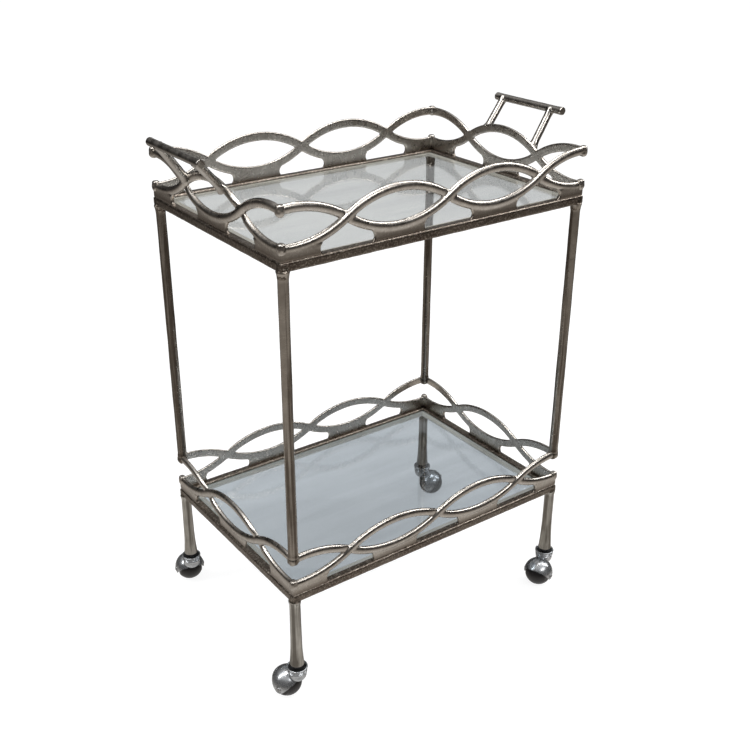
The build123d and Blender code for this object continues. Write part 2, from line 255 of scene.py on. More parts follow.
def subtract_ball(piece, centre, radius):
    """Hollow a piece where a sphere passes through it."""
    bm = bmesh.new()
    bmesh.ops.create_icosphere(bm, subdivisions=5, radius=radius, matrix=Matrix.Translation(centre))
    mesh = bpy.data.meshes.new("cutter")
    bm.to_mesh(mesh)
    bm.free()
    cutter = bpy.data.objects.new("cutter", mesh)
    bpy.context.scene.collection.objects.link(cutter)
    trim = piece.modifiers.new("trim", "BOOLEAN")
    trim.operation = "DIFFERENCE"
    trim.solver = "EXACT"
    trim.object = cutter
    apply_modifiers(piece)
    bpy.data.objects.remove(cutter)


def dress(piece, body, slot, *nodes, crease=40):
    """Give a piece its body, its material, and the CAD nodes that it stands for."""
    mesh = piece.data
    mesh.materials.clear()
    mesh.materials.append(materials[slot])
    mesh.shade_smooth()
    mesh.set_sharp_from_angle(angle=math.radians(crease))
    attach(piece, body)
    if nodes:
        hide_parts(*nodes)


# ---------------------------------------------------------------- materials


class Surface:
    """A node material built up step by step from one Principled shader."""

    def __init__(self, name):
        self.material = bpy.data.materials.new(name)
        self.material.use_nodes = True
        self.tree = self.material.node_tree
        self.shader = self.tree.nodes["Principled BSDF"]
        self.place = self.node("ShaderNodeTexCoord").outputs["Object"]

    def node(self, kind, **settings):
        made = self.tree.nodes.new(kind)
        for key, value in settings.items():
            setattr(made, key, value)
        return made

    def link(self, source, target):
        self.tree.links.new(source, target)

    def stretched(self, scale):
        mapping = self.node("ShaderNodeMapping")
        mapping.inputs["Scale"].default_value = scale
        self.link(self.place, mapping.inputs["Vector"])
        return mapping.outputs["Vector"]

    def grain(self, scale, detail=3.0, roughness=0.55, stretch=None):
        texture = self.node("ShaderNodeTexNoise")
        texture.inputs["Scale"].default_value = scale
        texture.inputs["Detail"].default_value = detail
        texture.inputs["Roughness"].default_value = roughness
        vector = self.stretched(stretch) if stretch else self.place
        self.link(vector, texture.inputs["Vector"])
        return texture.outputs["Fac"]

    def pits(self, scale):
        texture = self.node("ShaderNodeTexVoronoi", feature="SMOOTH_F1")
        texture.inputs["Scale"].default_value = scale
        texture.inputs["Smoothness"].default_value = 0.6
        self.link(self.place, texture.inputs["Vector"])
        return texture.outputs["Distance"]

    def spread(self, source, low, high, to_low=0.0, to_high=1.0):
        spread = self.node("ShaderNodeMapRange", clamp=True)
        spread.inputs["From Min"].default_value = low
        spread.inputs["From Max"].default_value = high
        spread.inputs["To Min"].default_value = to_low
        spread.inputs["To Max"].default_value = to_high
        self.link(source, spread.inputs["Value"])
        return spread.outputs["Result"]

    def math(self, operation, a, b):
        made = self.node("ShaderNodeMath", operation=operation)
        for source, target in zip((a, b), made.inputs):
            if isinstance(source, float):
                target.default_value = source
            else:
                self.link(source, target)
        return made.outputs["Value"]

    def mix(self, factor, a, b):
        made = self.node("ShaderNodeMix", data_type="RGBA")
        if isinstance(factor, float):
            made.inputs["Factor"].default_value = factor
        else:
            self.link(factor, made.inputs["Factor"])
        for source, name in ((a, "A"), (b, "B")):
            socket = [s for s in made.inputs if s.name == name and s.type == "RGBA"][0]
            if isinstance(source, tuple):
                socket.default_value = (*source, 1)
            else:
                self.link(source, socket)
        return [s for s in made.outputs if s.type == "RGBA"][0]

    def height(self):
        """Height above the floor."""
        place = self.node("ShaderNodeSeparateXYZ")
        self.link(self.node("ShaderNodeNewGeometry").outputs["Position"], place.inputs["Vector"])
        return place.outputs["Z"]

    def edges(self, low, high):
        """1 on worn outward edges, 0 elsewhere."""
        return self.spread(self.node("ShaderNodeNewGeometry").outputs["Pointiness"], low, high)

    def bump(self, height, strength, distance, normal=None):
        made = self.node("ShaderNodeBump")
        made.inputs["Strength"].default_value = strength
        made.inputs["Distance"].default_value = distance
        self.link(height, made.inputs["Height"])
        if normal:
            self.link(normal, made.inputs["Normal"])
        return made.outputs["Normal"]

    def finish(self, color=None, roughness=None, normal=None, **constants):
        for value, name in ((color, "Base Color"), (roughness, "Roughness"), (normal, "Normal")):
            if value is not None:
                self.link(value, self.shader.inputs[name])
        for name, value in constants.items():
            self.shader.inputs[name.replace("_", " ")].default_value = value
        return self.material


def cast_metal(
    name, dark, plain, light, smooth, rough, pitting, streak=None, streak_share=0.5,
    metallic=1.0, speckle=0.0, glow=0.0, rail_shade=None,
):
    """Antiqued nickel: softly clouded plate, tarnish in the hollows and slightly worn edges."""
    s = Surface(name)
    mottle = s.spread(s.grain(60, 5, 0.6), 0.42, 0.68)
    cloud = s.spread(s.grain(11, 2), 0.35, 0.65)
    color = s.mix(s.math("MULTIPLY", mottle, 0.3), plain, dark)
    color = s.mix(s.math("MULTIPLY", cloud, 0.4), color, light)
    if streak:
        lines = s.spread(s.grain(1, 4, 0.6, streak), 0.44, 0.56)
        color = s.mix(s.math("MULTIPLY", lines, streak_share), color, dark)
    if speckle:
        flecks = s.spread(s.grain(300, 4, 0.65), 0.52, 0.60)
        color = s.mix(s.math("MULTIPLY", flecks, speckle), color, tuple(1.5 * c for c in light))
    hollow = s.math("SUBTRACT", 1.0, s.edges(0.43, 0.49))
    color = s.mix(s.math("MULTIPLY", hollow, 0.45), color, tuple(0.5 * c for c in dark))
    color = s.mix(s.math("MULTIPLY", s.edges(0.53, 0.60), 0.5), color, light)
    if rail_shade:
        # Painted shade on the webs, just above each tray's rail, where they meet it
        height = s.height()
        upper, lower = (s.spread(height, RAIL_TOP[t] + RAIL_SHADE_TOP, RAIL_TOP[t] + RAIL_SHADE_FULL) for t in TIERS)
        upper = s.math("MULTIPLY", upper, s.spread(height, 0.50, 0.55))
        color = s.mix(s.math("MULTIPLY", s.math("ADD", lower, upper), 0.8), color, rail_shade)
    roughness = s.spread(s.grain(70, 4), 0.3, 0.7, smooth, rough)
    normal = s.bump(s.grain(150, 3), pitting * 0.5, 0.0006)
    normal = s.bump(s.pits(330), pitting * 0.5, 0.0004, normal)
    normal = s.bump(s.grain(420, 4, 0.6), pitting, 0.0002, normal)
    if glow:
        # Light that comes down through the glass, which the renderer's shadows leave out
        s.link(color, s.shader.inputs["Emission Color"])
    return s.finish(color, roughness, normal, Metallic=metallic, Emission_Strength=glow)


def chrome(name):
    """Plated zinc, slightly hazed, with faint casting waves, painted highlights on the rims and painted
    shade in the hollows.
    """
    s = Surface(name)
    color = s.mix(s.spread(s.grain(55, 4), 0.35, 0.7), (0.34, 0.355, 0.37), (0.56, 0.57, 0.585))
    # Painted shade: darker in the hollows, such as the collar's ribs and its seam with the dome
    hollow = s.math("SUBTRACT", 1.0, s.edges(0.43, 0.49))
    color = s.mix(s.math("MULTIPLY", hollow, 0.6), color, (0.10, 0.10, 0.10))
    # Painted highlight: lighter on the rims
    color = s.mix(s.math("MULTIPLY", s.edges(0.55, 0.66), 0.4), color, (0.92, 0.92, 0.92))
    roughness = s.spread(s.grain(160, 4), 0.3, 0.75, 0.20, 0.34)
    normal = s.bump(s.grain(120, 2), 0.12, 0.0005)
    normal = s.bump(s.grain(900, 3, 0.6, (1, 1, 0.15)), 0.1, 0.0001, normal)
    return s.finish(color, roughness, normal, Metallic=0.9)


def steel(name):
    """Turned steel with fine rings and a little oil."""
    s = Surface(name)
    color = s.mix(s.spread(s.grain(240, 4), 0.35, 0.7), (0.30, 0.30, 0.31), (0.58, 0.58, 0.58))
    roughness = s.spread(s.grain(500, 3), 0.3, 0.7, 0.22, 0.42)
    normal = s.bump(s.grain(1500, 2, 0.5, (0.2, 0.2, 1)), 0.15, 0.0001)
    return s.finish(color, roughness, normal, Metallic=1.0)


def moulded(name, dark, light, smooth, rough, grain_scale):
    """Moulded plastic or hard rubber with a fine grain."""
    s = Surface(name)
    color = s.mix(s.spread(s.grain(grain_scale / 6, 4), 0.35, 0.7), dark, light)
    color = s.mix(s.math("MULTIPLY", s.edges(0.53, 0.60), 0.4), color, tuple(1.5 * c for c in light))
    roughness = s.spread(s.grain(grain_scale / 2, 3), 0.3, 0.7, smooth, rough)
    normal = s.bump(s.grain(grain_scale, 4), 0.3, 0.0002)
    return s.finish(color, roughness, normal, Metallic=0.0)


def glass(name):
    """Float glass with a grey tint, deeper and bluer on the lower shelf as painted shade of the cart's
    shadow seen through it, with faint wiping smears.
    """
    s = Surface(name)
    upright = s.node("ShaderNodeSeparateXYZ")
    s.link(s.node("ShaderNodeNewGeometry").outputs["Normal"], upright.inputs["Vector"])
    edge = s.spread(s.math("ABSOLUTE", upright.outputs["Z"], 0.0), 0.9, 0.2)
    shelf = s.spread(s.height(), 0.4, 0.6)
    smear = s.spread(s.grain(1, 5, 0.6, (2.2, 24, 1)), 0.40, 0.75)
    cloud = s.spread(s.grain(3.5, 3), 0.35, 0.7)
    streaks = s.math("ADD", s.math("MULTIPLY", smear, 0.6), s.math("MULTIPLY", cloud, 0.4))
    # Painted shade: the lower shelf's glass is tinted deeper and bluer than the upper's, for the shadow
    # seen through it
    lower = s.mix(streaks, (0.40, 0.44, 0.47), (0.31, 0.345, 0.375))
    upper = s.mix(streaks, (0.60, 0.615, 0.61), (0.48, 0.50, 0.505))
    color = s.mix(edge, s.mix(shelf, lower, upper), (0.24, 0.40, 0.34))
    roughness = s.spread(smear, 0.0, 1.0, 0.0, 0.05)
    return s.finish(color, roughness, None, Transmission_Weight=1.0, IOR=1.5, Metallic=0.0)


materials = {
    "rail_metal": cast_metal(
        "rail_metal", (0.050, 0.037, 0.028), (0.125, 0.10, 0.082), (0.27, 0.24, 0.205), 0.26, 0.42, 1.0,
        speckle=0.8
    ),
    "gallery_metal": cast_metal(
        "gallery_metal", (0.20, 0.175, 0.15), (0.45, 0.415, 0.375), (0.60, 0.57, 0.53), 0.22, 0.34, 0.12,
        # the last colour is the painted shade on the webs just above the rails
        speckle=0.25, rail_shade=(0.16, 0.13, 0.105)
    ),
    "post_metal": cast_metal(
        "post_metal", (0.085, 0.066, 0.050), (0.36, 0.325, 0.285), (0.50, 0.465, 0.42), 0.22, 0.38, 0.2,
        (140, 140, 3), 0.85
    ),
    "leg_metal": cast_metal(
        "leg_metal", (0.17, 0.155, 0.135), (0.50, 0.485, 0.445), (0.68, 0.665, 0.62), 0.34, 0.5, 0.2,
        (130, 130, 4), 0.9
    ),
    "handle_metal": cast_metal(
        "handle_metal", (0.17, 0.15, 0.13), (0.38, 0.355, 0.325), (0.56, 0.535, 0.50), 0.2, 0.34, 0.15
    ),
    "ledge_metal": cast_metal(
        "ledge_metal", (0.42, 0.40, 0.36), (0.62, 0.60, 0.55), (0.72, 0.70, 0.66), 0.5, 0.65, 0.3,
        metallic=0.25, glow=0.5
    ),
    "glass": glass("glass"),
    # Near-black plastic; on the race in the collar's mouth it is partly painted shade
    "socket_plastic": moulded(
        "socket_plastic", (0.006, 0.006, 0.006), (0.014, 0.014, 0.014), 0.45, 0.6, 900
    ),
    "caster_chrome": chrome("caster_chrome"),
    "pin_steel": steel("pin_steel"),
    "ball_tread": moulded(
        "ball_tread", (0.004, 0.0033, 0.0035), (0.010, 0.008, 0.0085), 0.32, 0.5, 700
    ),
}


# ---------------------------------------------------------------- trays


def side_point(side, along, out, height):
    """A point along a side, outwards from its post axes, and above the floor."""
    right, outward = SIDES[side]
    distance = HALF_Y if side in ("front", "back") else HALF_X
    return right * along + outward * (distance + out) + UP * height


def half_length(side):
    return HALF_X if side in ("front", "back") else HALF_Y


def mitre(piece, side):
    """Cut both ends of a side's piece at the corners' diagonals."""
    right, outward = SIDES[side]
    for end in (1, -1):
        cut(piece, side_point(side, end * half_length(side), 0, 0), (right * end - outward).normalized())


def crossings(side):
    if side in ("front", "back"):
        count, pitch, shift = LONG_CROSSINGS, LONG_PITCH, LONG_SHIFT
    else:
        count, pitch, shift = SHORT_CROSSINGS, SHORT_PITCH, SHORT_SHIFT
    return [shift + (i - (count - 1) / 2) * pitch for i in range(count)], pitch


def lens_middles(side):
    places, pitch = crossings(side)
    return [places[0] - pitch / 2] + [place + pitch / 2 for place in places]


def arc_height(along, centre, pitch, rise):
    radius = (pitch**2 / 4 + rise**2) / (2 * rise)
    return math.sqrt(radius**2 - (along - centre) ** 2) - radius + rise


def strand_state(side, tier, along, first_sign):
    """Height above the crossings of a strand's centre line, and how its crest swells there."""
    places, pitch = crossings(side)
    lens = sum(along > place for place in places)
    sign = first_sign if lens % 2 == 0 else -first_sign
    lift = sign * arc_height(along, lens_middles(side)[lens], pitch, RISE[tier])
    crest = -BASE_CREST
    for i, place in enumerate(places):
        falling = (first_sign > 0) == (i % 2 == 0)
        near = math.exp(-(((along - place) / CREST_REACH) ** 2))
        crest += near * (-UNDER_CREST if falling else OVER_CREST)
    return lift, crest


def strand_section(count=11, corner=0.0012):
    """Half-round section: (across, depth share from the flat back to the crest)."""
    half = STRAND_WIDTH / 2
    wall = 0.22
    points = [(-half + corner, 0.0), (-half, corner / STRAND_DEPTH), (-half, wall)]
    for k in range(1, count):
        angle = math.pi * k / count
        points.append((-half * math.cos(angle), wall + (1 - wall) * math.sin(angle)))
    points += [(half, wall), (half, corner / STRAND_DEPTH), (half - corner, 0.0)]
    return points


def strand(side, tier, first_sign):
    """One wave of a gallery, run past both corners."""
    right, outward = SIDES[side]
    reach = half_length(side) + SIDE_OVERRUN
    inner = FACE - STRAND_DEPTH
    step = 0.003
    count = round(2 * reach / step)
    section = strand_section()
    rings = []
    for i in range(count + 1):
        along = -reach + 2 * reach * i / count
        lift, crest = strand_state(side, tier, along, first_sign)
        ahead = strand_state(side, tier, along + 1e-4, first_sign)[0]
        slope = Vector((1e-4, ahead - lift)).normalized()
        across = UP * slope.x - right * slope.y
        centre = side_point(side, along, inner, CROSSING_HEIGHT[tier] + lift)
        depth = STRAND_DEPTH + crest
        rings.append([centre + across * w + outward * (d * depth) for w, d in section])
    return rings_to_mesh(rings)


def prism(side, outline, inner, outer):
    """An upright plate along a side: its outline in (along, height), between two depths."""
    rings = [[side_point(side, a, out, z) for a, z in outline] for out in (inner, outer)]
    return rings_to_mesh(rings)


def web_outline(left, right, bottom, top):
    """A web's outline: its ends are hollowed, so that they swell into the rail and the strand."""
    points = []
    steps = 8
    for edge, out in ((left, -1), (right, 1)):
        side_points = []
        for k in range(steps + 1):
            share = k / steps
            swell = WEB_END_SWELL * abs(2 * share - 1) ** 2.2
            side_points.append((edge + out * swell, bottom + (top - bottom) * share))
        points += side_points if out < 0 else reversed(side_points)
    return points


def make_gallery(side, tier):
    """Two crossing waves, the webs that tie them to the rail, and the filled crossings."""
    crossing_z = CROSSING_HEIGHT[tier]
    inner = FACE - STRAND_DEPTH
    parts = [strand(side, tier, sign) for sign in (1, -1)]
    reach = half_length(side) + SIDE_OVERRUN
    middles = lens_middles(side)
    low_line = crossing_z - RISE[tier]
    bottom = RAIL_TOP[tier] - 0.001
    for i, place in enumerate(middles):
        at_corner = i in (0, len(middles) - 1)
        left = -reach if i == 0 else place - WEB_HALF_LENGTH
        right = reach if i == len(middles) - 1 else place + WEB_HALF_LENGTH
        depth = CORNER_WEB_DEPTH if at_corner else WEB_DEPTH
        parts.append(prism(side, web_outline(left, right, bottom, low_line), inner, inner + depth))
    for place in crossings(side)[0]:
        diamond = [(-0.0145, 0), (0, -0.0095), (0.0145, 0), (0, 0.0095)]
        outline = [(place + a, crossing_z + z) for a, z in diamond]
        parts.append(prism(side, outline, inner, inner + 0.0032))
    name = f"{tier}_gallery_{side}_cast"
    piece = make_object(name, join(parts))
    fuse(piece, smoothing=8)
    ripple(piece, (0.00010, 0.024), (0.000015, 0.006), swell=0.00015)
    mitre(piece, side)
    floor_z = RAIL_TOP[tier] - 0.0006
    cut(piece, Vector((0, 0, floor_z)), -UP)
    dress(piece, "frame", "gallery_metal", f"{tier}_gallery_{side}")


def rounded_square(half_width, half_height, radius, corner_steps=5, edge_steps=5):
    """Section of a rounded bar, with points along its edges as well."""
    points = []
    corners = ((1, 1), (-1, 1), (-1, -1), (1, -1))
    for i, (sx, sy) in enumerate(corners):
        centre = (sx * (half_width - radius), sy * (half_height - radius))
        for k in range(corner_steps + 1):
            angle = math.pi / 2 * (i + k / corner_steps)
            points.append((centre[0] + radius * math.cos(angle), centre[1] + radius * math.sin(angle)))
    full = []
    for i, point in enumerate(points):
        full.append(point)
        after = points[(i + 1) % len(points)]
        gap = math.dist(point, after)
        if gap > 2 * radius / corner_steps:
            full += [
                tuple(p + (q - p) * k / edge_steps for p, q in zip(point, after))
                for k in range(1, edge_steps)
            ]
    return full


def make_rail(side, tier):
    """A rounded bar, a little uneven and pitted."""
    half_height = (RAIL_TOP[tier] - RAIL_BOTTOM[tier]) / 2
    section = rounded_square(FACE, half_height, 0.0034)
    reach = half_length(side) + SIDE_OVERRUN
    step = 0.0022
    count = round(2 * reach / step)
    rings = []
    for i in range(count + 1):
        along = -reach + 2 * reach * i / count
        rings.append([side_point(side, along, w, RAIL_BOTTOM[tier] + half_height + h) for w, h in section])
    piece = make_object(f"{tier}_rail_{side}_bar", rings_to_mesh(rings))
    ripple(piece, (0.0003, 0.03), (0.00016, 0.006), (0.00014, 0.0026))
    mitre(piece, side)
    dress(piece, "frame", "rail_metal", f"{tier}_rail_{side}")


for tier in TIERS:
    for side in SIDES:
        make_gallery(side, tier)
        make_rail(side, tier)


# ---------------------------------------------------------------- posts, legs and welds


def corner_place(corner):
    place = middle(f"leg_{corner}")
    return Vector((place.x, place.y, 0))


def fine_profile(profile, step=0.004):
    """The same profile with points added, so that no stretch is longer than the step."""
    full = [profile[0]]
    for start, end in zip(profile[:-1], profile[1:]):
        parts = max(1, math.ceil(math.dist(start, end) / step))
        full += [tuple(a + (b - a) * k / parts for a, b in zip(start, end)) for k in range(1, parts + 1)]
    return full


def make_post(corner):
    """A round bar with a weld collar at its foot, which swells a little under the upper tray."""
    low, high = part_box(f"post_{corner}")
    radius = POST_RADIUS
    swell_z = high.z - POST_SWELL_HEIGHT
    profile = [(0, low.z - 0.004), (radius + 0.0007, low.z - 0.004), (radius + 0.0007, low.z - 0.001)]
    profile += [(radius, low.z + 0.004), (radius, swell_z)]
    for k in range(1, 9):
        share = k / 8
        profile.append((radius + 0.0022 * share**2.2, swell_z + POST_SWELL_HEIGHT * share))
    profile.append((0, high.z))
    shape = turned(fine_profile(profile, 0.005), corner_place(corner), segments=40)
    piece = make_object(f"post_{corner}_bar", shape)
    ripple(piece, (0.0004, 0.05), (0.00014, 0.006))
    dress(piece, "frame", "post_metal", f"post_{corner}")


def make_leg(corner):
    """A round bar that flares towards its bored foot."""
    low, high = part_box(f"leg_{corner}")
    top, waist, foot = LEG_TOP_RADIUS, LEG_WAIST_RADIUS, (high.x - low.x) / 2
    bore_end = low.z + LEG_BORE_DEPTH
    profile = [(0, high.z + 0.002), (top + 0.0016, high.z + 0.001), (top + 0.0009, high.z - 0.003)]
    profile += [(top, high.z - 0.007), (waist, LEG_FLARE_Z)]
    for k in range(1, 13):
        share = k / 12
        radius = waist + (foot - waist) * (0.25 * share + 0.75 * share**2)
        profile.append((radius, LEG_FLARE_Z + (low.z + 0.0008 - LEG_FLARE_Z) * share))
    profile += [(foot - 0.0007, low.z), (LEG_BORE_RADIUS, low.z)]
    profile += [(LEG_BORE_RADIUS, bore_end), (0, bore_end)]
    shape = turned(fine_profile(profile), corner_place(corner), segments=44)
    piece = make_object(f"leg_{corner}_bar", shape)
    ripple(piece, (0.0003, 0.04), (0.00012, 0.007))
    dress(piece, "frame", "leg_metal", f"leg_{corner}")


def lump(centre, size, seed):
    """A rounded weld lump: a squashed ball whose skin is uneven."""
    bm = bmesh.new()
    bmesh.ops.create_icosphere(bm, subdivisions=4, radius=1)
    points = []
    for vertex in bm.verts:
        way = vertex.co.copy()
        # Between a ball and a box, so that the lump fills its corner
        way = Vector([math.copysign(abs(c) ** 0.7, c) for c in way])
        swell = 1 + 0.06 * noise.noise(way * 1.7 + Vector((seed, 0, 0)))
        points.append(centre + Vector([c * s * swell for c, s in zip(way, size)]))
    faces = [tuple(v.index for v in face.verts) for face in bm.faces]
    bm.free()
    return points, faces


def make_bosses():
    """The lumps at the lower gallery's corners, which the posts stand on."""
    low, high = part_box("post_bosses")
    parts = []
    for i, corner in enumerate(CORNERS):
        centre = corner_place(corner) + UP * (low.z + high.z) / 2
        parts.append(lump(centre, (0.0088, 0.0088, 0.95 * (high.z - low.z) / 2), i))
        for k in range(3):
            angle = 2.1 * k + i
            aside = Vector((math.cos(angle), math.sin(angle), 0)) * 0.005
            side_centre = centre + aside + UP * (0.003 * k - 0.004)
            parts.append(lump(side_centre, (0.0042, 0.0042, 0.0034), 10 * i + k))
    piece = make_object("post_weld_bosses", join(parts))
    fuse(piece, 0.0009, 4)
    ripple(piece, (0.0004, 0.004))
    dress(piece, "frame", "post_metal", "post_bosses")


def make_corner_weld(corner, tier):
    """Dressed weld that closes the rails' mitre, thicker round the post or leg under it."""
    place = corner_place(corner)
    z = (RAIL_TOP[tier] + RAIL_BOTTOM[tier]) / 2
    outward_x = math.copysign(1, place.x)
    outward_y = math.copysign(1, place.y)
    height = (RAIL_TOP[tier] - RAIL_BOTTOM[tier]) / 2
    centre = place + UP * z
    parts = [lump(centre, (0.0080, 0.0080, height + 0.0002), 3 * place.x + place.y)]
    for dx, dy in ((outward_x, 0), (0, outward_y), (-outward_x, 0), (0, -outward_y)):
        step = Vector((dx, dy, 0))
        lower = centre - UP * 0.004 + step * 0.0015
        parts.append(lump(lower, (0.0072, 0.0072, height - 0.0035), dx + 2 * dy))
    flare = [(0, -0.010), (0.0087, -0.010), (0.0092, -0.004), (0.0104, 0.0015), (0, 0.004)]
    parts.append(turned(flare, place + UP * RAIL_BOTTOM[tier]))
    piece = make_object(f"{tier}_corner_weld_{corner}", join(parts))
    fuse(piece, 0.0009, 5)
    ripple(piece, (0.0004, 0.006), (0.0002, 0.0026))
    dress(piece, "frame", "rail_metal")


def make_gallery_weld(corner, tier):
    """Ground-down weld knobs where the strands of two galleries meet at a corner."""
    place = corner_place(corner)
    along_front = place.x * (1 if corner.startswith("front") else -1)
    middles = lens_middles("front")
    middle_near = middles[-1] if along_front > 0 else middles[0]
    arc = arc_height(along_front, middle_near, LONG_PITCH, RISE[tier]) - 0.0008
    knob = place + Vector((math.copysign(0.0030, place.x), math.copysign(0.0030, place.y), 0))
    parts = []
    for sign in (1, -1) if tier == "upper" else (-1,):
        centre = knob + UP * (CROSSING_HEIGHT[tier] + sign * arc)
        parts.append(lump(centre, (0.0064, 0.0064, 0.0088), 5 * sign + 20 * place.x))
        parts.append(lump(centre + UP * 0.0052, (0.0058, 0.0058, 0.0046), 7 * sign + 10 * place.y))
    piece = make_object(f"{tier}_gallery_weld_{corner}", join(parts))
    fuse(piece, 0.0008, 4)
    ripple(piece, (0.0004, 0.005))
    dress(piece, "frame", "gallery_metal")


for corner in CORNERS:
    make_post(corner)
    make_leg(corner)
    for tier in TIERS:
        make_corner_weld(corner, tier)
        make_gallery_weld(corner, tier)
make_bosses()


# ---------------------------------------------------------------- handles


def make_handle(side):
    """A grip rod with flared ends, and two leaning arms that run into it and into the arch."""
    right = SIDES[side][0]
    low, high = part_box(f"handle_grip_{side}")
    radius = (high.z - low.z) / 2
    grip_z = (low.z + high.z) / 2
    out = abs(middle(f"handle_grip_{side}").x) - HALF_X
    ends = sorted(right.dot(corner) for corner in (low, high))
    path, radii = [], []
    length = ends[1] - ends[0]
    for k in range(41):
        along = ends[0] + length * k / 40
        from_end = min(along - ends[0], ends[1] - along)
        path.append(side_point(side, along, out, grip_z))
        radii.append(radius - 0.0001 - 0.0005 * min(1, from_end / 0.016))
    parts = [rod(path, radii, 32)]
    arch_out = FACE - STRAND_DEPTH / 2 + 0.002
    places, pitch = crossings(side)
    for foot_along, head_along in ((-0.0770, -0.0715), (0.0425, 0.0500)):
        arch = arc_height(foot_along, (places[0] + places[1]) / 2, pitch, RISE["upper"])
        foot = side_point(side, foot_along, arch_out, CROSSING_HEIGHT["upper"] + arch)
        head = side_point(side, head_along, out, grip_z)
        path, radii = [], []
        for k in range(21):
            foot_flare = 0.0032 * max(0, 1 - k / 4.0) ** 2
            head_flare = 0.0018 * max(0, (k - 15.5) / 4.5) ** 2
            path.append(foot.lerp(head, k / 20))
            radii.append(0.0066 + foot_flare + head_flare)
        parts.append(rod(path, radii, 28))
    piece = make_object(f"handle_{side}_welded", join(parts))
    fuse(piece, 0.0010, 4)
    ripple(piece, (0.0002, 0.014), (0.00007, 0.0045), swell=0.0001)
    arms = [f"handle_arm_{side}_{end}" for end in ("front", "back")]
    dress(piece, "frame", "handle_metal", f"handle_grip_{side}", *arms, crease=50)


for side in ("left", "right"):
    make_handle(side)


# ---------------------------------------------------------------- casters

joints = {joint["name"]: joint for joint in frame["joints"]}


def caster_frame(corner):
    """Ball centre, and the directions away from the leg, up, and along the axle."""
    roll = joints[f"roll_{corner}"]
    centre = Vector(roll["pos_m"])
    axle = Vector(roll["axis"]).normalized()
    trail = centre - corner_place(corner)
    trail.z = 0
    trail.normalize()
    return centre, trail, axle


def hood_point(corner_axes, ring, angle):
    """A point of the dome: ring is its distance from the axle's line (signed by the side)."""
    centre, trail, axle = corner_axes
    distance, side = ring
    along = min(math.sqrt(max(HOOD_RADIUS**2 - distance**2, 0)), EAR_FACE)
    spoke = trail * math.cos(angle) + UP * math.sin(angle)
    return centre + spoke * distance + axle * (side * along)


def make_hood(corner):
    """The dome over the ball: a thin pressed shell whose rim climbs from the two ears."""
    axes = caster_frame(corner)
    steps = 56
    ear_steps = 20
    rings = []
    for k in range(-40, 41):
        latitude = math.acos(EAR_RADIUS / HOOD_RADIUS) * math.sin(math.pi / 2 * k / 40)
        distance = HOOD_RADIUS * math.cos(latitude)
        side = 1 if k >= 0 else -1
        lean = math.asin(min(1, EAR_RADIUS / distance))
        first, last = RIM_OUTER - lean, math.pi - RIM_INNER + lean
        angles = [first + (last - first) * j / steps for j in range(steps + 1)]
        rings.append([hood_point(axes, (distance, side), a) for a in angles])
    points = [p for ring in rings for p in ring]
    width = steps + 1
    faces = []
    for i in range(len(rings) - 1):
        for j in range(steps):
            a = i * width + j
            faces.append((a, a + 1, a + 1 + width, a + width))
    # Round ears: discs about the axle, whose upper edges are the dome's first and last rings
    for side, row in ((-1, 0), (1, len(rings) - 1)):
        rim = [row * width + j for j in range(width)]
        first, last = RIM_OUTER - math.pi / 2, math.pi - RIM_INNER + math.pi / 2
        for j in range(1, ear_steps):
            angle = last + (first + 2 * math.pi - last) * j / ear_steps
            rim.append(len(points))
            points.append(hood_point(axes, (EAR_RADIUS, side), angle))
        outer = rim
        # A groove in each ear, round the rivet head
        dip = EAR_GROOVE_DEPTH
        for distance, depth in ((0.0063, 0), (0.0060, dip), (0.0051, dip), (0.0048, 0), (0.0032, 0)):
            inner = []
            for index in outer:
                spoke = points[index] - axes[0]
                spoke -= axes[2] * spoke.dot(axes[2])
                inner.append(len(points))
                along = min(math.sqrt(HOOD_RADIUS**2 - distance**2), EAR_FACE) - depth
                points.append(axes[0] + spoke.normalized() * distance + axes[2] * (side * along))
            for j in range(len(outer)):
                after = (j + 1) % len(outer)
                faces.append((outer[j], outer[after], inner[after], inner[j]))
            outer = inner
    piece = make_object(f"caster_hood_{corner}_pressed", (points, faces))
    wall = piece.modifiers.new("wall", "SOLIDIFY")
    wall.thickness = HOOD_WALL
    wall.offset = -1
    wall.use_even_offset = True
    edge = piece.modifiers.new("edge", "BEVEL")
    edge.width = 0.0005
    edge.segments = 3
    edge.limit_method = "ANGLE"
    edge.angle_limit = math.radians(50)
    apply_modifiers(piece)
    ripple(piece, (0.00006, 0.01))
    dress(piece, f"caster_{corner}", "caster_chrome", f"caster_hood_{corner}")


def make_collar(corner):
    """The ribbed cup round the swivel, with a polished lip and a bowl that runs into the dome."""
    centre = caster_frame(corner)[0]
    mouth = corner_place(corner) + UP * COLLAR_TOP
    profile = [(0, -0.0050), (0.0138, -0.0050), (0.0152, -0.0012), (0.0158, -0.0003), (0.0165, 0)]
    profile += [(0.0173, -0.0002), (0.0179, -0.0009), (0.0180, -0.0019), (0.0176, -0.0027)]
    for k, waist in enumerate((0.0162, 0.0160, 0.0157)):
        z = -0.0034 - 0.0030 * k
        rib = ((0, 0), (0.0008, 0.0005), (0.0011, 0.0012), (0.0008, 0.0019))
        profile += [(waist + swell, z - drop) for swell, drop in rib]
    for k in range(0, 17):
        share = k / 16
        profile.append((0.0160 - 0.0068 * share**3.2, -0.0124 - 0.0150 * share))
    profile.append((0, -0.0275))
    piece = make_object(f"caster_collar_{corner}_ribbed", turned(profile, mouth, segments=64))
    subtract_ball(piece, centre, HOOD_RADIUS - HOOD_WALL / 2)
    dress(piece, f"caster_{corner}", "caster_chrome", f"caster_collar_{corner}", crease=55)


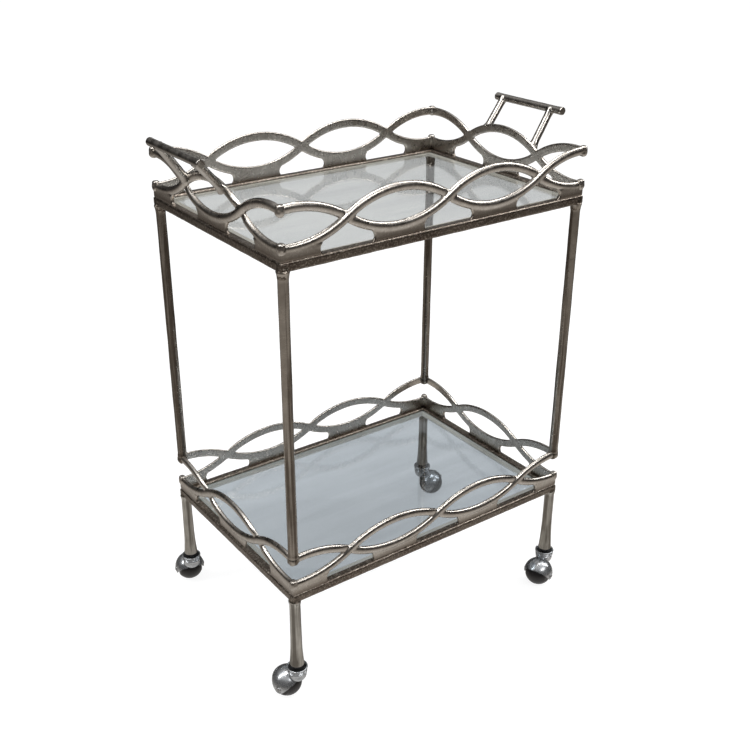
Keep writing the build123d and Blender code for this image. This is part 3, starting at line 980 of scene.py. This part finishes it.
def make_race(corner):
    """The dark dished washer that fills the collar's mouth round the swivel pin; its near-black is partly
    painted shade, standing in for the shade inside the mouth.
    """
    profile = [(0.0043, -0.0050), (0.0043, -0.0036), (0.0075, -0.0032), (0.0100, -0.0036)]
    profile += [(0.0125, -0.0034), (0.0143, -0.0022), (0.0150, -0.0020), (0.0150, -0.0030)]
    profile += [(0.0139, -0.0050), profile[0]]
    points, faces = turned(profile, corner_place(corner) + UP * COLLAR_TOP, segments=48)
    piece = make_object(f"caster_race_{corner}_dished", (points, faces[:-2]))
    # Painted shade: the near-black washer fills the collar's mouth, where there is shade
    dress(piece, f"caster_{corner}", "socket_plastic")


def make_axle(corner):
    """The pin, with two domed rivet heads in their rings."""
    centre, _, axle = caster_frame(corner)
    head = [(0.0045, 0.0000), (0.0045, 0.0004), (0.0040, 0.0010), (0.0030, 0.0014), (0.0018, 0.00155)]
    head += [(0.0012, 0.0011), (0, 0.0010)]
    profile = [(r, -EAR_FACE - h) for r, h in reversed(head)]
    profile += [(AXLE_RADIUS, -EAR_FACE), (AXLE_RADIUS, EAR_FACE)]
    profile += [(r, EAR_FACE + h) for r, h in head]
    piece = make_object(f"caster_axle_{corner}_riveted", turned(profile, centre, axle, 40))
    dress(piece, f"caster_{corner}", "pin_steel", f"caster_axle_{corner}", crease=50)


def make_ball(corner):
    """The ball wheel, with shallow grooves round it and a hub at each side."""
    centre, _, axle = caster_frame(corner)
    flat = BALL_HALF_WIDTH
    tread = []
    count = 84
    for k in range(count + 1):
        along = flat * math.sin(math.pi / 2 * (2 * k / count - 1))
        groove = 0.00022 * (0.5 + 0.5 * math.cos(2 * math.pi * along / 0.0032)) ** 4
        tread.append((math.sqrt(BALL_RADIUS**2 - along**2) - groove, along))
    hub, hub_end = HUB_RADIUS, HUB_HALF_WIDTH
    edge = tread[0][0]
    left = [(BALL_BORE_RADIUS, -hub_end), (hub - 0.0006, -hub_end), (hub, -hub_end + 0.0006)]
    left.append((hub, -flat - 0.0008))
    left += [(hub + 0.0008, -flat), (edge - 0.0018, -flat), (edge - 0.0006, -flat + 0.0002)]
    right = [(r, -h) for r, h in reversed(left)]
    profile = left + tread[1:-1] + right + [left[0]]
    points, faces = turned(profile, centre, axle, 72)
    piece = make_object(f"caster_ball_{corner}_wheel", (points, faces[:-2]))
    dress(piece, f"ball_{corner}", "ball_tread", f"caster_ball_{corner}", crease=35)


for corner in CORNERS:
    make_hood(corner)
    make_collar(corner)
    make_race(corner)
    make_axle(corner)
    make_ball(corner)


# ---------------------------------------------------------------- carried CAD nodes

carried = {}
for tier in TIERS:
    carried[f"{tier}_glass"] = "glass"
    carried[f"{tier}_ledge"] = "ledge_metal"
for corner in CORNERS:
    carried[f"caster_socket_{corner}"] = "socket_plastic"
    carried[f"caster_stem_{corner}"] = "pin_steel"
for name, slot in carried.items():
    node = frame["nodes"][name]
    node.data.materials.clear()
    node.data.materials.append(materials[slot])


# ---------------------------------------------------------------- studio


def make_floor():
    """A pale floor that turns up into a round backdrop far away."""
    flat, bend, height = 7.0, 2.0, 6.0
    profile = [(0, 0), (0.5, 0), (1.5, 0), (3.5, 0), (flat, 0)]
    for k in range(1, 13):
        angle = math.pi / 2 * k / 12
        profile.append((flat + bend * math.sin(angle), bend * (1 - math.cos(angle))))
    profile.append((flat + bend, height))
    points, faces = turned(profile, Vector((0, 0, -0.0002)), segments=96)
    floor = make_object("studio_floor", (points, faces[:-1]))
    surface = Surface("studio_floor")
    color = surface.mix(surface.grain(3, 3), (0.16, 0.16, 0.16), (0.18, 0.18, 0.18))
    white = (1, 1, 1, 1)
    material = surface.finish(color, Roughness=0.9, Emission_Color=white, Emission_Strength=0.88)
    floor.data.materials.append(material)
    floor.data.shade_smooth()
    floor.visible_glossy = False


def area_light(name, at, aim, size_x, size_y, power):
    data = bpy.data.lights.new(name, "AREA")
    data.shape = "RECTANGLE"
    data.size = size_x
    data.size_y = size_y
    data.energy = power
    lamp = bpy.data.objects.new(name, data)
    lamp.location = at
    lamp.rotation_mode = "QUATERNION"
    lamp.rotation_quaternion = (Vector(aim) - Vector(at)).to_track_quat("-Z", "Y")
    bpy.context.scene.collection.objects.link(lamp)


def make_world():
    """A dim room: warm floor below, a dark band round the horizon, a grey ceiling above."""
    world = bpy.data.worlds.new("studio")
    bpy.context.scene.world = world
    world.use_nodes = True
    tree = world.node_tree
    place = tree.nodes.new("ShaderNodeTexCoord")
    split = tree.nodes.new("ShaderNodeSeparateXYZ")
    ramp = tree.nodes.new("ShaderNodeValToRGB")
    height = tree.nodes.new("ShaderNodeMapRange")
    height.inputs["From Min"].default_value = -1
    height.inputs["From Max"].default_value = 1
    tree.links.new(place.outputs["Generated"], split.inputs["Vector"])
    tree.links.new(split.outputs["Z"], height.inputs["Value"])
    tree.links.new(height.outputs["Result"], ramp.inputs["Fac"])
    # The room is darker behind the cart, along the camera's level heading
    behind = tree.nodes.new("ShaderNodeVectorMath")
    behind.operation = "DOT_PRODUCT"
    behind.inputs[1].default_value = (0.59, 0.81, 0)
    shade = tree.nodes.new("ShaderNodeMapRange")
    shade.inputs["From Min"].default_value = 0.25
    shade.inputs["From Max"].default_value = 0.85
    shade.inputs["To Min"].default_value = 1.0
    shade.inputs["To Max"].default_value = 0.35
    dim = tree.nodes.new("ShaderNodeVectorMath")
    dim.operation = "SCALE"
    tree.links.new(place.outputs["Generated"], behind.inputs[0])
    tree.links.new(behind.outputs["Value"], shade.inputs["Value"])
    tree.links.new(ramp.outputs["Color"], dim.inputs[0])
    tree.links.new(shade.outputs["Result"], dim.inputs["Scale"])
    tree.links.new(dim.outputs["Vector"], tree.nodes["Background"].inputs["Color"])
    stops = [
        (0.0, (0.85, 0.83, 0.80)),
        (0.14, (0.72, 0.69, 0.655)),
        (0.28, (0.54, 0.505, 0.465)),
        (0.37, (0.20, 0.178, 0.158)),
        (0.44, (0.022, 0.019, 0.017)),
        (0.60, (0.018, 0.016, 0.015)),
        (0.70, (0.06, 0.058, 0.055)),
        (0.78, (0.20, 0.195, 0.19)),
        (0.84, (0.55, 0.55, 0.55)),
        (0.93, (0.75, 0.75, 0.75)),
        (1.0, (0.42, 0.42, 0.42)),
    ]
    elements = ramp.color_ramp.elements
    while len(elements) < len(stops):
        elements.new(0.5)
    for element, (position, color) in zip(elements, stops):
        element.position = position
        element.color = (*color, 1)


def make_camera():
    data = bpy.data.cameras.new("camera")
    data.lens = CAMERA_LENS
    data.sensor_width = 36
    data.clip_end = 60
    camera = bpy.data.objects.new("camera", data)
    bpy.context.scene.collection.objects.link(camera)
    camera.location = CAMERA_AT
    aim = CAMERA_FORWARD.to_track_quat("-Z", "Y").to_matrix()
    camera.rotation_euler = (aim @ Matrix.Rotation(CAMERA_ROLL, 3, "Z")).to_euler()
    bpy.context.scene.camera = camera


make_floor()
make_world()
area_light("overhead", (0, 0, 3.2), (0, 0, 0), 2.4, 0.5, 60)
area_light("left_strip", (-2.2, 0.6, 2.6), (0, 0, 0.6), 0.5, 2.4, 45)
area_light("right_strip", (2.3, -0.8, 2.4), (0, 0, 0.6), 0.5, 2.4, 40)
area_light("back_card", (2.2, 3.0, 2.3), (0, 0, 0.6), 3.0, 1.4, 4.5)
area_light("front_fill", (0.4, -3.0, 2.8), (0, 0, 0.5), 2.2, 0.5, 40)
make_camera()
bpy.context.scene.view_settings.view_transform = "Standard"
